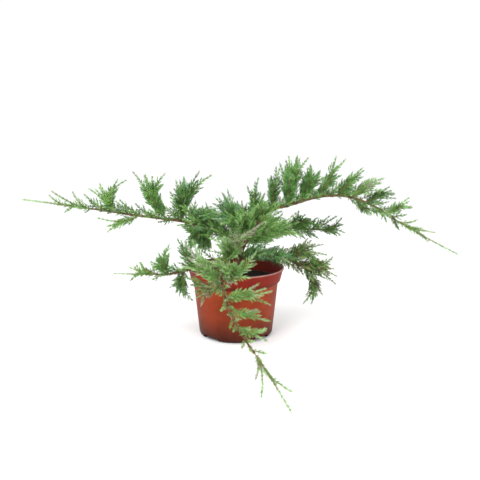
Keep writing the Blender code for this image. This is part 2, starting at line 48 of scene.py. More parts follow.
# Limbs: headings are degrees about Z from +X, rises are degrees above level from root to tip,
# a share is where along its bearer a bough starts
trunkSizes = dict(foot=(0.004, 0.0), sunk=0.002, heading=2, turn=0, rise=(90, 86, 72, 54, 54, 62),
                  length=0.148, root=0.0080, tip=0.0052, flare=1.5, flareEnd=0.16)
boughSizes = {
    "bough_left_upper": dict(on="trunk", share=0.48, heading=178, turn=3, length=0.330,
                             rise=(40, 24, 11, 7, 7, 9, 9), root=0.0040, tip=0.0016),
    "bough_left_lower": dict(on="trunk", share=0.17, heading=210, turn=-24, length=0.180,
                             rise=(30, 10, -12, -16, -8, 4), root=0.0040, tip=0.0020),
    "bough_front": dict(on="trunk", share=0.31, heading=-104, turn=-2, length=0.142,
                        rise=(28, 10, -4, -20, -30), root=0.0040, tip=0.0026),
    "bough_front_outer": dict(on="bough_front", share=1.0, heading=-86, turn=26, length=0.214,
                              rise=(-27, -23, -22, -22), root=0.0025, tip=0.0016),
    "bough_right_upper": dict(on="trunk", share=1.0, heading=0, turn=2, length=0.178,
                              rise=(38, 12, 18, 14, 4, -8), root=0.0040, tip=0.0027),
    "bough_right_outer": dict(on="bough_right_upper", share=1.0, heading=-1, turn=0, length=0.118,
                              rise=(-10, -22, -31, -34), root=0.0026, tip=0.0017),
    "bough_right_back": dict(on="trunk", share=0.62, heading=42, turn=-32, length=0.190,
                             rise=(28, 6, -8, -8, 0), root=0.0038, tip=0.0020),
    "bough_right_lower": dict(on="trunk", share=0.27, heading=2, turn=16, length=0.174,
                              rise=(26, -2, -14, -26, -48), root=0.0040, tip=0.0022),
    "bough_back_left": dict(on="trunk", share=0.42, heading=128, turn=-12, length=0.190,
                            rise=(34, 14, 0, -10, -14), root=0.0040, tip=0.0022),
    "bough_back_right": dict(on="trunk", share=0.52, heading=78, turn=-8, length=0.200,
                             rise=(32, 16, 2, -10, -16), root=0.0040, tip=0.0022),
}

# Masses: limb, share along it, tint, and plumes of heading, rise, length and half width (mm)
masses = {
    "foliage_right_inner": ("bough_right_upper", 0.12, "deep", [
        (-40, 78, 88, 13), (190, 80, 60, 11), (-110, 60, 52, 11), (80, 62, 60, 12)]),
    "foliage_right_top": ("bough_right_upper", 0.30, "mid", [
        (12, 78, 102, 15), (172, 78, 84, 14), (-100, 62, 75, 14), (90, 64, 80, 14), (-50, 52, 76, 13)]),
    "foliage_right_crest": ("bough_right_upper", 0.49, "deep", [
        (0, 60, 72, 14), (172, 82, 66, 13), (-70, 62, 60, 13), (70, 60, 64, 13), (0, 32, 48, 11)]),
    "foliage_right_shoot": ("bough_right_upper", 0.68, "mid", [
        (0, 55, 94, 11), (25, 44, 60, 10), (-30, 36, 48, 10), (-5, 72, 54, 9)]),
    "foliage_right_second": ("bough_right_upper", 0.90, "mid", [
        (0, 48, 76, 11), (-30, 34, 50, 10), (28, 30, 54, 10)]),
    "foliage_right_third": ("bough_right_outer", 0.10, "pale", [
        (0, 40, 64, 11), (-20, 12, 66, 10), (20, 20, 62, 10)]),
    "foliage_right_under": ("bough_right_outer", 0.20, "deep", [
        (0, -44, 42, 9), (-40, -66, 28, 8), (-15, -16, 50, 9)]),
    "foliage_right_fourth": ("bough_right_outer", 0.38, "deep", [
        (0, 34, 56, 10), (-22, 8, 58, 10), (25, 4, 52, 9)]),
    "foliage_right_fifth": ("bough_right_outer", 0.80, "mid", [
        (0, 36, 56, 8), (-20, 18, 48, 8), (15, -2, 40, 7)]),
    "foliage_right_tip": ("bough_right_outer", 1.0, "pale", [
        (0, -28.5, 156, 6), (0, 8, 40, 6), (-20, -6, 36, 5), (15, -40, 26, 5)]),
    "foliage_left_tip": ("bough_left_upper", 1.0, "pale", [
        (181, 8, 142, 6), (190, 52, 42, 7), (170, -28, 28, 6), (180, 34, 34, 6)]),
    "foliage_left_first": ("bough_left_upper", 0.86, "fresh", [
        (180, 67, 64, 10), (180, 44, 66, 9), (100, 72, 46, 9), (0, 72, 58, 10), (-60, 50, 40, 8),
        (10, 48, 56, 10)]),
    "foliage_left_under": ("bough_left_upper", 0.70, "fresh", [
        (182, -3, 84, 8), (186, -18, 62, 9), (192, -34, 42, 8)]),
    "foliage_left_plume": ("bough_left_upper", 0.53, "mid", [
        (180, 57, 116, 14), (181, 66, 92, 13), (222, 46, 60, 12), (150, 46, 58, 12), (-20, 64, 62, 13)]),
    "foliage_left_tall": ("bough_left_upper", 0.42, "deep", [
        (0, 70, 112, 14), (180, 66, 60, 14), (-92, 58, 68, 14), (92, 60, 70, 14), (0, 44, 76, 13)]),
    "foliage_left_close": ("bough_left_upper", 0.31, "mid", [
        (180, 50, 46, 13), (-34, 22, 50, 12), (44, 30, 50, 12), (-130, 34, 48, 12)]),
    "foliage_left_hanging": ("bough_left_upper", 0.27, "deep", [
        (190, -48, 56, 13), (20, -76, 46, 12), (232, -42, 52, 12), (140, -44, 50, 12)]),
    "foliage_low_left_tip": ("bough_left_lower", 1.0, "pale", [
        (182, 2, 84, 6), (180, 42, 36, 7), (206, 60, 32, 7), (150, 30, 32, 7), (200, -34, 24, 6)]),
    "foliage_low_left_clump": ("bough_left_lower", 0.86, "mid", [
        (182, 66, 48, 12), (184, 34, 44, 12), (252, 50, 42, 12), (60, 66, 46, 12)]),
    "foliage_low_left_plume": ("bough_left_lower", 0.58, "blue", [
        (180, 68, 60, 11), (84, 74, 56, 10), (236, 56, 54, 11)]),
    "foliage_low_left_hanging": ("bough_left_lower", 0.68, "deep", [
        (200, -68, 46, 12), (190, -46, 42, 11), (-84, -56, 46, 11), (-50, -44, 54, 12)]),
    "foliage_front_crown": ("bough_front", 0.52, "pale", [
        (-64, 60, 62, 13), (-112, 50, 58, 13), (-150, 34, 62, 13), (-14, 42, 88, 11), (-84, 24, 58, 13)]),
    "foliage_front_cover": ("bough_front_outer", 0.04, "pale", [
        (-12, 24, 72, 13), (-60, -4, 50, 13), (-150, 38, 56, 13), (-110, 30, 50, 13), (-24, 46, 62, 12)]),
    "foliage_front_left_shoot": ("bough_front_outer", 0.11, "pale", [
        (180, 48, 100, 11), (194, 26, 72, 10), (202, 56, 62, 10), (160, 62, 62, 10)]),
    "foliage_front_brush": ("bough_front_outer", 0.15, "olive", [
        (188, 4, 58, 10), (202, -20, 50, 9), (222, -40, 46, 9), (176, 24, 52, 10)]),
    "foliage_front_right_high": ("bough_front_outer", 0.31, "pale", [
        (0, 8, 84, 9), (-5, 26, 62, 9), (-20, -12, 50, 8)]),
    "foliage_front_right_mid": ("bough_front_outer", 0.50, "pale", [
        (-4, -12, 70, 7), (0, 8, 42, 7), (-30, 10, 30, 6)]),
    "foliage_front_right_low": ("bough_front_outer", 0.70, "pale", [
        (-4, -24, 52, 7), (5, -6, 44, 7), (0, 14, 30, 6)]),
    "foliage_front_tip": ("bough_front_outer", 1.0, "pale", [
        (-66, -21, 130, 5), (-94, -22, 50, 5), (-38, -20, 46, 5)]),
    "foliage_crown_left": ("trunk", 0.64, "blue", [
        (182, 49, 104, 16), (204, 24, 88, 16), (158, 56, 94, 15), (-140, 46, 90, 16), (172, 70, 76, 14),
        (192, 8, 80, 14)]),
    "foliage_crown_front": ("trunk", 0.55, "fresh", [
        (-100, 64, 90, 16), (-134, 48, 86, 16), (-74, 44, 80, 15), (-104, 28, 80, 15), (-46, 54, 72, 14),
        (-128, 12, 72, 14)]),
    "foliage_crown_back": ("trunk", 0.66, "deep", [
        (118, 38, 92, 15), (78, 44, 88, 15), (150, 32, 84, 14), (50, 28, 76, 14)]),
    "foliage_crown_spire": ("trunk", 0.84, "deep", [
        (70, 86, 97, 10), (0, 74, 62, 9), (184, 74, 62, 9), (-90, 64, 60, 10)]),
    "foliage_inner_right": ("trunk", 0.53, "fresh", [
        (0, 30, 122, 14), (-16, 14, 104, 14), (-32, 34, 84, 14), (18, 18, 92, 13), (-36, 4, 90, 13)]),
    "foliage_inner_front": ("trunk", 0.34, "blue", [
        (-36, 10, 88, 13), (-54, 24, 76, 13), (-22, -4, 84, 12), (-70, 8, 66, 12)]),
    "foliage_rim_right": ("bough_right_lower", 0.40, "blue", [
        (-44, 6, 54, 11), (-76, -6, 52, 10), (-8, -12, 42, 10)]),
    "foliage_right_back_tip": ("bough_right_back", 1.0, "deep", [
        (5, 12, 50, 9), (30, -25, 46, 9), (-32, -8, 46, 9), (10, 40, 34, 8)]),
    "foliage_right_back_mid": ("bough_right_back", 0.58, "deep", [
        (10, 22, 50, 10), (-20, -25, 54, 10), (60, 40, 46, 10), (0, -5, 60, 10), (-40, 10, 44, 10)]),
    "foliage_right_low_tip": ("bough_right_lower", 1.0, "olive", [
        (-90, -82, 66, 11), (20, -60, 54, 11), (200, -58, 48, 11)]),
    "foliage_right_low_outer": ("bough_right_lower", 0.78, "olive", [
        (5, -20, 92, 12), (25, -6, 76, 12), (-20, -32, 70, 12), (40, 14, 60, 12)]),
    "foliage_right_low_upper": ("bough_right_lower", 0.60, "olive", [
        (20, 16, 92, 12), (42, 28, 70, 12), (0, -2, 72, 12), (-30, -36, 58, 12)]),
    "foliage_back_left_tip": ("bough_back_left", 1.0, "mid", [
        (110, -6, 76, 14), (140, 10, 62, 13), (84, 8, 62, 13), (112, -40, 52, 13)]),
    "foliage_back_left_mid": ("bough_back_left", 0.55, "mid", [
        (130, 60, 70, 14), (170, 24, 60, 13), (90, 30, 66, 13), (150, -20, 56, 13)]),
    "foliage_back_left_low": ("bough_back_left", 0.70, "mid", [
        (120, -55, 60, 14), (160, -36, 56, 13), (84, -44, 56, 13)]),
    "foliage_back_right_tip": ("bough_back_right", 1.0, "mid", [
        (72, -8, 78, 14), (100, 8, 62, 13), (44, 8, 66, 13), (70, -42, 54, 13)]),
    "foliage_back_right_mid": ("bough_back_right", 0.52, "mid", [
        (66, 58, 72, 14), (104, 26, 62, 13), (28, 24, 70, 13), (56, -16, 60, 13)]),
}

mm = 0.001  # in metres, as all that has no unit is
growth = {
    "trunkSteps": 48,
    "boughSteps": 64,
    "plumeSteps": 16,
    "outward": 0.9,  # a stem leaves the side of its limb by so much outward
    "onward": 0.44,  # and by so much along the limb
    "bend": 0.42,  # how far a plume starts out toward its own tip
    "pull": 0.42,  # share of its length over which it turns there
    "plumeFrom": 0.07,  # share of the stem where its second plume leaves
    "plumeOver": 0.36,  # share over which the others follow
    "broad": 14,  # half width (mm) of a stem whose fillers come in pairs
    "filler": 0.86,  # length of a plume grown between two of a mass's plumes
    "fillerLength": (0.85, 1.05),
    "fillerRise": 7,  # degrees either way
    "fillerTurn": 12,
    "fillerFrom": 0.05,
    "fillerOver": 0.34,
    "seed": 7,
}


def headingVector(heading, rise):
    h = math.radians(heading)
    r = math.radians(rise)
    return np.array([math.cos(r) * math.cos(h), math.cos(r) * math.sin(h), math.sin(r)])


def unit(vector):
    return vector / max(np.linalg.norm(vector), 1e-9)


def pointAt(path, share):
    place = min(max(share, 0.0), 1.0) * (len(path) - 1)
    index = min(int(place), len(path) - 2)
    return path[index] + (path[index + 1] - path[index]) * (place - index)


def directionAt(path, share):
    place = min(max(share, 0.0), 1.0) * (len(path) - 1)
    index = min(int(place), len(path) - 2)
    return unit(path[index + 1] - path[index])


def growLimb(start, limb, steps):
    points = [np.array(start, float)]
    rises = limb["rise"]
    for step in range(steps):
        share = (step + 0.5) / steps
        rise = np.interp(share * (len(rises) - 1), range(len(rises)), rises)
        stride = headingVector(limb["heading"] + limb["turn"] * share, rise)
        points.append(points[-1] + stride * limb["length"] / steps)
    return np.array(points)


def growLimbs():
    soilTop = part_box("soil")[1][2]
    trunk = growLimb((*trunkSizes["foot"], soilTop - trunkSizes["sunk"]), trunkSizes, growth["trunkSteps"])
    shares = np.linspace(0, 1, len(trunk))
    radii = trunkSizes["root"] + (trunkSizes["tip"] - trunkSizes["root"]) * shares
    flared = np.clip(1 - shares / trunkSizes["flareEnd"], 0, 1) ** 2
    paths = {"trunk": (trunk, radii * (1 + (trunkSizes["flare"] - 1) * flared))}
    for name, bough in boughSizes.items():
        bearer, _ = paths[bough["on"]]
        path = growLimb(pointAt(bearer, bough["share"]), bough, growth["boughSteps"])
        paths[name] = (path, np.linspace(bough["root"], bough["tip"], len(path)))
    return paths


def growPlume(root, leaving, plume):
    heading, rise, length, halfWidth = plume
    reach = headingVector(heading, rise)
    tip = root + reach * length * mm
    blend = unit(leaving * (1 - growth["bend"]) + reach * growth["bend"])
    control = root + blend * length * mm * growth["pull"]
    shares = np.linspace(0, 1, growth["plumeSteps"] + 1)[:, None]
    curve = (1 - shares) ** 2 * root + 2 * shares * (1 - shares) * control + shares ** 2 * tip
    return curve, length, halfWidth


def growMass(name, limbPath, share, plumes):
    along = directionAt(limbPath, share)
    leaving = along
    if share < 1.0:
        outward = headingVector(*plumes[0][:2])
        outward = unit(outward - along * outward.dot(along))
        leaving = unit(outward * growth["outward"] + along * growth["onward"])
    routes = [growPlume(pointAt(limbPath, share), leaving, plumes[0])]
    stem = routes[0][0]
    for index, plume in enumerate(plumes[1:]):
        step = growth["plumeFrom"] + growth["plumeOver"] * index / max(1, len(plumes) - 2)
        routes.append(growPlume(pointAt(stem, step), directionAt(stem, step), plume))
    # fillers close the gaps between neighbouring plumes
    chance = random.Random(f"fill{growth['seed']}{name}")
    fillers = 2 if plumes[0][3] >= growth["broad"] else 1
    for index in range((len(plumes) - 1) * fillers):
        near, far = plumes[index // fillers], plumes[index // fillers + 1]
        reach = unit(headingVector(*near[:2]) + headingVector(*far[:2]))
        rise = math.degrees(math.asin(reach[2])) + chance.uniform(-growth["fillerRise"], growth["fillerRise"])
        heading = math.degrees(math.atan2(reach[1], reach[0]))
        heading += chance.uniform(-growth["fillerTurn"], growth["fillerTurn"])
        length = (near[2] + far[2]) / 2 * growth["filler"] * chance.uniform(*growth["fillerLength"])
        step = growth["fillerFrom"] + growth["fillerOver"] * (index / fillers + 0.5) / (len(plumes) - 1)
        plume = (heading, rise, length, (near[3] + far[3]) / 2)
        routes.append(growPlume(pointAt(stem, step), directionAt(stem, step), plume))
    return routes


# Shoots straight off the limbs: limb, start, end, step (mm), shortest, longest and half width (mm),
# tint, and the share of those on its underside that stay there
limbShoots = {
    "crownShoots": ("trunk", 0.40, 1.0, 5, 40, 66, 13, "fresh", 0.7),
    "leftShoots": ("bough_left_upper", 0.08, 0.98, 8, 24, 46, 9, "mid", 0.2),
    "closeShoots": ("bough_left_upper", 0.04, 0.30, 5, 32, 56, 11, "mid", 0.9),
    "lowLeftShoots": ("bough_left_lower", 0.20, 0.98, 7, 22, 44, 9, "mid", 0.6),
    "frontShoots": ("bough_front", 0.20, 1.0, 5, 30, 56, 10, "pale", 0.6),
    "frontOuterShoots": ("bough_front_outer", 0.02, 0.98, 7, 14, 26, 5, "pale", 0.8),
    "rightShoots": ("bough_right_upper", 0.10, 1.0, 7, 24, 46, 9, "mid", 0.05),
    "rightOuterShoots": ("bough_right_outer", 0.0, 1.0, 6, 22, 40, 8, "mid", 0.75),
    "rightBackShoots": ("bough_right_back", 0.20, 1.0, 6, 28, 52, 9, "deep", 0.9),
    "rimShoots": ("bough_right_lower", 0.08, 0.46, 4, 26, 40, 9, "blue", 0.9),
    "rightLowShoots": ("bough_right_lower", 0.34, 1.0, 5, 30, 60, 10, "olive", 0.8),
    "backLeftShoots": ("bough_back_left", 0.30, 1.0, 12, 22, 44, 9, "mid", 0.7),
    "backRightShoots": ("bough_back_right", 0.30, 1.0, 12, 22, 44, 9, "mid", 0.7),
}
shootShape = {
    "turn": 137.5,  # degrees round the limb from one shoot to the next
    "onward": 0.80,
    "outward": 0.60,
    "lift": 0.10,  # rise of the tip, as a share of the shoot's length
    "points": 9,
}


def growLimbShoots(name):
    limb, begin, end, step, shortest, longest, halfWidth, tint, downward = limbShoots[name]
    path, _ = limbs[limb]
    chance = random.Random(f"shoots{growth['seed']}{name}")
    lengthInMm = np.linalg.norm(np.diff(path, axis=0), axis=1).sum() * 1000
    routes = []
    turn = 0.0
    for share in np.arange(begin, end, step / lengthInMm):
        along = directionAt(path, share)
        turn += shootShape["turn"]
        level = unit(np.cross(along, np.array([0.0, 0.0, 1.0])))
        over = np.cross(level, along)
        out = level * math.cos(math.radians(turn)) + over * math.sin(math.radians(turn))
        if out[2] < 0 and chance.random() > downward:
            out = out * np.array([1, 1, -1])
        reach = unit(along * shootShape["onward"] + out * shootShape["outward"])
        size = chance.uniform(shortest, longest)
        root = pointAt(path, share)
        tip = root + reach * size * mm + np.array([0, 0, shootShape["lift"] * size * mm])
        route = np.array([root + (tip - root) * s for s in np.linspace(0, 1, shootShape["points"])])
        routes.append((route, size, halfWidth))
    return tint, routes


limbs = growLimbs()
grown = {name: (tint, growMass(name, limbs[limb][0], share, plumes))
         for name, (limb, share, tint, plumes) in masses.items()}
grown.update({name: growLimbShoots(name) for name in limbShoots})
print("plant grown:", len(limbs), "limbs,", sum(len(r) for _, r in grown.values()), "plumes")


# Materials
def newMaterial(name, roughness, specular):
    mat = bpy.data.materials.new(name)
    mat.use_nodes = True
    shader = mat.node_tree.nodes["Principled BSDF"]
    shader.inputs["Roughness"].default_value = roughness
    shader.inputs["Specular IOR Level"].default_value = specular
    return mat, mat.node_tree, shader


def noiseNode(tree, scale, detail, roughness=0.55):
    place = tree.nodes.new("ShaderNodeTexCoord")
    node = tree.nodes.new("ShaderNodeTexNoise")
    node.inputs["Scale"].default_value = scale
    node.inputs["Detail"].default_value = detail
    node.inputs["Roughness"].default_value = roughness
    tree.links.new(place.outputs["Object"], node.inputs["Vector"])
    return node.outputs["Fac"]


def rampNode(tree, source, stops):
    ramp = tree.nodes.new("ShaderNodeValToRGB")
    ramp.color_ramp.elements[0].position = stops[0][0]
    ramp.color_ramp.elements[0].color = (*stops[0][1], 1)
    ramp.color_ramp.elements[1].position = stops[-1][0]
    ramp.color_ramp.elements[1].color = (*stops[-1][1], 1)
    for place, colour in stops[1:-1]:
        ramp.color_ramp.elements.new(place).color = (*colour, 1)
    tree.links.new(source, ramp.inputs["Fac"])
    return ramp.outputs["Color"]


def bumpFrom(tree, shader, source, strength, distance):
    bump = tree.nodes.new("ShaderNodeBump")
    bump.inputs["Strength"].default_value = strength
    bump.inputs["Distance"].default_value = distance
    tree.links.new(source, bump.inputs["Height"])
    tree.links.new(bump.outputs["Normal"], shader.inputs["Normal"])


greens = {
    "pale": (0.330, 0.500, 0.220),
    "fresh": (0.260, 0.470, 0.140),
    "mid": (0.180, 0.370, 0.095),
    "blue": (0.180, 0.360, 0.165),
    "deep": (0.095, 0.210, 0.055),
    "olive": (0.230, 0.280, 0.100),
    "tip": (0.370, 0.360, 0.270),
    # dark and dusk serve only as painted shade, the darker copies that shadowed gives to deep and olive
    # sprigs near a plume's root; mid, deep and olive also serve as painted shade for the lighter greens
    "dark": (0.045, 0.105, 0.028),
    "dusk": (0.100, 0.115, 0.045),
}
leafLook = {"roughness": 0.7, "shine": 0.08, "patches": 55, "darker": 0.78, "lighter": 1.22,
            "stops": (0.32, 0.5, 0.68), "grain": 900, "detail": 2, "bump": 0.35, "bumpDepth": 0.0006}


def leafMaterial(name, colour):
    mat, tree, shader = newMaterial(name, leafLook["roughness"], leafLook["shine"])
    darker = tuple(c * leafLook["darker"] for c in colour)
    lighter = tuple(min(1, c * leafLook["lighter"]) for c in colour)
    field = noiseNode(tree, leafLook["patches"], leafLook["detail"])
    patches = rampNode(tree, field, list(zip(leafLook["stops"], (darker, colour, lighter))))
    tree.links.new(patches, shader.inputs["Base Color"])
    fine = noiseNode(tree, leafLook["grain"], leafLook["detail"])
    bumpFrom(tree, shader, fine, leafLook["bump"], leafLook["bumpDepth"])
    return mat


barkLooks = {  # dark and light colour, noise scale
    "roughBark": ((0.045, 0.024, 0.014), (0.235, 0.130, 0.075), 120),
    "youngBark": ((0.110, 0.085, 0.035), (0.290, 0.215, 0.090), 160),
}
barkFinish = {"roughness": 0.9, "shine": 0.1, "stops": (0.34, 0.52, 0.66), "finer": 4,
              "bump": 0.6, "bumpDepth": 0.0012}


def barkMaterial(name):
    dark, light, scale = barkLooks[name]
    middle = tuple((a + b) / 2 for a, b in zip(dark, light))
    mat, tree, shader = newMaterial(name, barkFinish["roughness"], barkFinish["shine"])
    field = noiseNode(tree, scale, detail=6, roughness=0.65)
    patches = rampNode(tree, field, list(zip(barkFinish["stops"], (dark, middle, light))))
    tree.links.new(patches, shader.inputs["Base Color"])
    fine = noiseNode(tree, scale * barkFinish["finer"], detail=5, roughness=0.7)
    bumpFrom(tree, shader, fine, barkFinish["bump"], barkFinish["bumpDepth"])
    return mat


potLook = {
    "roughness": 0.5,
    "shine": 0.12,
    "bandsTo": 0.146,  # height (m) at which the bands end
    "bandsAndPaintedLight": [  # foot darkened towards the bottom by painted shade, sun-faded body, painted shadow under the collar, collar, painted highlight along the rim
        # the first two stops are painted shade, darkening the lower third of the pot towards the bottom
        (0.0, (0.045, 0.010, 0.005)), (0.11, (0.095, 0.017, 0.007)), (0.36, (0.225, 0.031, 0.008)),
        (0.76, (0.270, 0.036, 0.008)), (0.795, (0.090, 0.012, 0.005)), (0.84, (0.205, 0.012, 0.004)),
        # the last stop, pale pinkish grey on the lip's top edge, is a painted highlight
        (0.965, (0.225, 0.014, 0.005)), (0.985, (0.400, 0.220, 0.190))],
    "grime": 26,
    "grimeStops": [(0.36, (0.62, 0.62, 0.62)), (0.62, (1.0, 1.0, 1.0))],
    "grimeShare": 0.8,
    "grain": 420,
    "bump": 0.12,
    "bumpDepth": 0.0008,
}


def potMaterial():
    mat, tree, shader = newMaterial("fadedRedPlastic", potLook["roughness"], potLook["shine"])
    place = tree.nodes.new("ShaderNodeTexCoord")
    split = tree.nodes.new("ShaderNodeSeparateXYZ")
    tree.links.new(place.outputs["Object"], split.inputs[0])
    height = tree.nodes.new("ShaderNodeMapRange")
    height.inputs["From Min"].default_value = 0.0
    height.inputs["From Max"].default_value = potLook["bandsTo"]
    tree.links.new(split.outputs["Z"], height.inputs["Value"])
    # the pot's own colours by height, with painted shade at the foot and under the collar and a painted
    # highlight on the rim
    bandsAndPaintedLight = rampNode(tree, height.outputs["Result"], potLook["bandsAndPaintedLight"])
    stains = noiseNode(tree, potLook["grime"], detail=5, roughness=0.6)
    grime = rampNode(tree, stains, potLook["grimeStops"])
    mix = tree.nodes.new("ShaderNodeMix")
    mix.data_type = "RGBA"
    mix.blend_type = "MULTIPLY"
    mix.inputs["Factor"].default_value = potLook["grimeShare"]
    tree.links.new(bandsAndPaintedLight, mix.inputs["A"])
    tree.links.new(grime, mix.inputs["B"])
    tree.links.new(mix.outputs["Result"], shader.inputs["Base Color"])
    fine = noiseNode(tree, potLook["grain"], detail=3)
    bumpFrom(tree, shader, fine, potLook["bump"], potLook["bumpDepth"])
    return mat


soilLook = {
    "roughness": 0.95, "shine": 0.15, "crumbs": 240, "bump": 1.0, "bumpDepth": 0.003,
    "stops": [(0.35, (0.006, 0.005, 0.004)), (0.6, (0.020, 0.015, 0.011)), (0.72, (0.060, 0.042, 0.030))],
}


def soilMaterial():
    mat, tree, shader = newMaterial("dampPottingMix", soilLook["roughness"], soilLook["shine"])
    crumbs = noiseNode(tree, soilLook["crumbs"], detail=6, roughness=0.7)
    tree.links.new(rampNode(tree, crumbs, soilLook["stops"]), shader.inputs["Base Color"])
    bumpFrom(tree, shader, crumbs, soilLook["bump"], soilLook["bumpDepth"])
    return mat


# Swept tubes for bark and twigs
barkShape = {
    "sides": 14,
    "spacing": 0.0022,
    "relief": 0.13,  # share of the radius
    "lumps": 190,  # noise scale of the lumps
    "streaks": 2.6,  # how much finer the streaks are
    "stretch": 0.25,  # and how much they are drawn out along Z
    "streakShare": 0.6,
}
twigShape = {
    "sides": 6,
    "spacing": 0.005,
    "stem": 0.0011,  # radius at the root of a mass's stem
    "side": 0.0008,  # and of its other plumes
    "tip": 0.0005,
    "drawn": 0.72,  # share of a plume that has its twig, the rest is sprigs alone
}
sweepSide = np.array([0.3, -0.8, 0.52])  # where each tube's first corner points, off all the limbs


def meshPiece(name, verts, faces, mat, smooth=True):
    mesh = bpy.data.meshes.new(name)
    mesh.from_pydata([tuple(v) for v in verts], [], faces)
    mesh.materials.append(mat)
    mesh.validate()
    if smooth:
        mesh.shade_smooth()
    piece = bpy.data.objects.new(name, mesh)
    bpy.context.scene.collection.objects.link(piece)
    return piece


def barkSwell(place):
    spot = Vector(place) * barkShape["lumps"]
    streak = Vector((spot.x, spot.y, spot.z * barkShape["stretch"])) * barkShape["streaks"]
    return 1.0 + barkShape["relief"] * (noise.noise(spot) + barkShape["streakShare"] * noise.noise(streak))


def sweep(path, radii, sides, rough, verts, faces):
    along = unit(path[1] - path[0])
    side = unit(np.cross(along, sweepSide))
    first = len(verts)
    for ring, (centre, radius) in enumerate(zip(path, radii)):
        along = unit(path[min(ring + 1, len(path) - 1)] - path[max(ring - 1, 0)])
        side = unit(side - along * side.dot(along))
        over = np.cross(along, side)
        for corner in range(sides):
            angle = 2 * math.pi * corner / sides
            out = side * math.cos(angle) + over * math.sin(angle)
            swell = barkSwell(centre + out * radius) if rough else 1.0
            verts.append(centre + out * radius * swell)
    for ring in range(len(path) - 1):
        for corner in range(sides):
            a = first + ring * sides + corner
            b = first + ring * sides + (corner + 1) % sides
            faces.append((a, b, b + sides, a + sides))
    last = first + (len(path) - 1) * sides
    faces.append(tuple(first + corner for corner in reversed(range(sides))))
    faces.append(tuple(last + corner for corner in range(sides)))


def resampled(path, radii, spacing):
    length = np.linalg.norm(np.diff(path, axis=0), axis=1).sum()
    shares = np.linspace(0, 1, max(3, int(length / spacing)))
    points = np.array([pointAt(path, s) for s in shares])
    return points, np.interp(shares, np.linspace(0, 1, len(radii)), radii)


def buildLimbs():
    verts, faces = [], []
    for path, radii in limbs.values():
        points, sizes = resampled(path, radii, barkShape["spacing"])
        sweep(points, sizes, barkShape["sides"], True, verts, faces)
    piece = meshPiece("limbBark", verts, faces, barkMaterial("roughBark"))
    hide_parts(*limbs)
    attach(piece, "root")


def buildTwigs():
    verts, faces = [], []
    for _, routes in grown.values():
        for index, (route, _, _) in enumerate(routes):
            start = twigShape["stem"] if index == 0 else twigShape["side"]
            radii = np.linspace(start, twigShape["tip"], len(route))
            drawn = max(3, int(len(route) * twigShape["drawn"]))
            points, sizes = resampled(route[:drawn], radii[:drawn], twigShape["spacing"])
            sweep(points, sizes, twigShape["sides"], False, verts, faces)
    piece = meshPiece("twigs", verts, faces, barkMaterial("youngBark"))
    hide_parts(*[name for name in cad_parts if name.startswith("foliage")])
    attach(piece, "root")


buildLimbs()
buildTwigs()
print("bark and twigs built")

# Sprigs: a short axis with alternate branchlets, each a slim cord of scales, in units of a sprig's length
sprigShape = {
    "variants": 3,
    "branchlets": 6,
    "spread": 31.0,  # degrees off the sprig's axis
    "spreadRange": (0.85, 1.2),
    "first": 0.06,  # height of the lowest branchlet
    "last": 0.66,  # and of the highest
    "longest": 0.48,
    "shortest": 0.17,
    "lengthRange": (0.85, 1.15),
    "lean": 0.30,  # how far a branchlet may lean out of the sprig's plane
    "sway": 0.03,  # sideways lean of the axis, one way or the other
    "bow": 0.02,  # and its lean to the front
    "thick": 0.040,
    "axisThick": 1.1,  # axis beside branchlet
    "axisRings": ((0.08, 1.0), (0.7, 0.9)),
    "branchletRings": ((0.42, 1.0),),
}
cordCorners = (0.0, 2.094, 4.189)  # radians round a cord's three corners


def addCord(body, start, end, radius, rings):
    along = (end - start).normalized()
    side = along.orthogonal().normalized()
    over = along.cross(side)
    loops = []
    for share, width in rings:
        centre = start.lerp(end, share)
        loops.append([body.verts.new(centre + (side * math.cos(a) + over * math.sin(a)) * radius * width)
                      for a in cordCorners])
    root = body.verts.new(start)
    tip = body.verts.new(end)
    for corner in range(len(cordCorners)):
        following = (corner + 1) % len(cordCorners)
        body.faces.new((root, loops[0][following], loops[0][corner]))
        body.faces.new((loops[-1][corner], loops[-1][following], tip))
        for near, far in zip(loops, loops[1:]):
            body.faces.new((near[corner], near[following], far[following], far[corner]))


def makeSprigs():
    s = sprigShape
    group = bpy.data.collections.new("sprigShapes")
    chance = random.Random(growth["seed"])
    for variant in range(s["variants"]):
        body = bmesh.new()
        axisTip = Vector((s["sway"] * (variant - 1), s["bow"], 1.0))
        addCord(body, Vector((0, 0, 0)), axisTip, s["thick"] * s["axisThick"], s["axisRings"])
        for index in range(s["branchlets"]):
            share = index / (s["branchlets"] - 1)
            height = s["first"] + (s["last"] - s["first"]) * share
            reach = s["longest"] + (s["shortest"] - s["longest"]) * share
            reach *= chance.uniform(*s["lengthRange"])
            hand = 1 if (index + variant) % 2 else -1
            angle = math.radians(s["spread"] * chance.uniform(*s["spreadRange"]))
            lean = chance.uniform(-s["lean"], s["lean"])
            root = Vector((s["sway"] * (variant - 1) * height, s["bow"] * height, height))
            way = Vector((hand * math.sin(angle), lean, math.cos(angle))).normalized()
            addCord(body, root, root + way * reach, s["thick"], s["branchletRings"])
        bmesh.ops.recalc_face_normals(body, faces=body.faces)
        mesh = bpy.data.meshes.new(f"sprig{variant}")
        body.to_mesh(mesh)
        body.free()
        group.objects.link(bpy.data.objects.new(f"sprig{variant}", mesh))
    return group


sprigFields = (  # what each point says of its sprig: attribute, kind and its data's field
    ("aim", "FLOAT_VECTOR", "vector"),
    ("across", "FLOAT_VECTOR", "vector"),
    ("reach", "FLOAT", "value"),
)


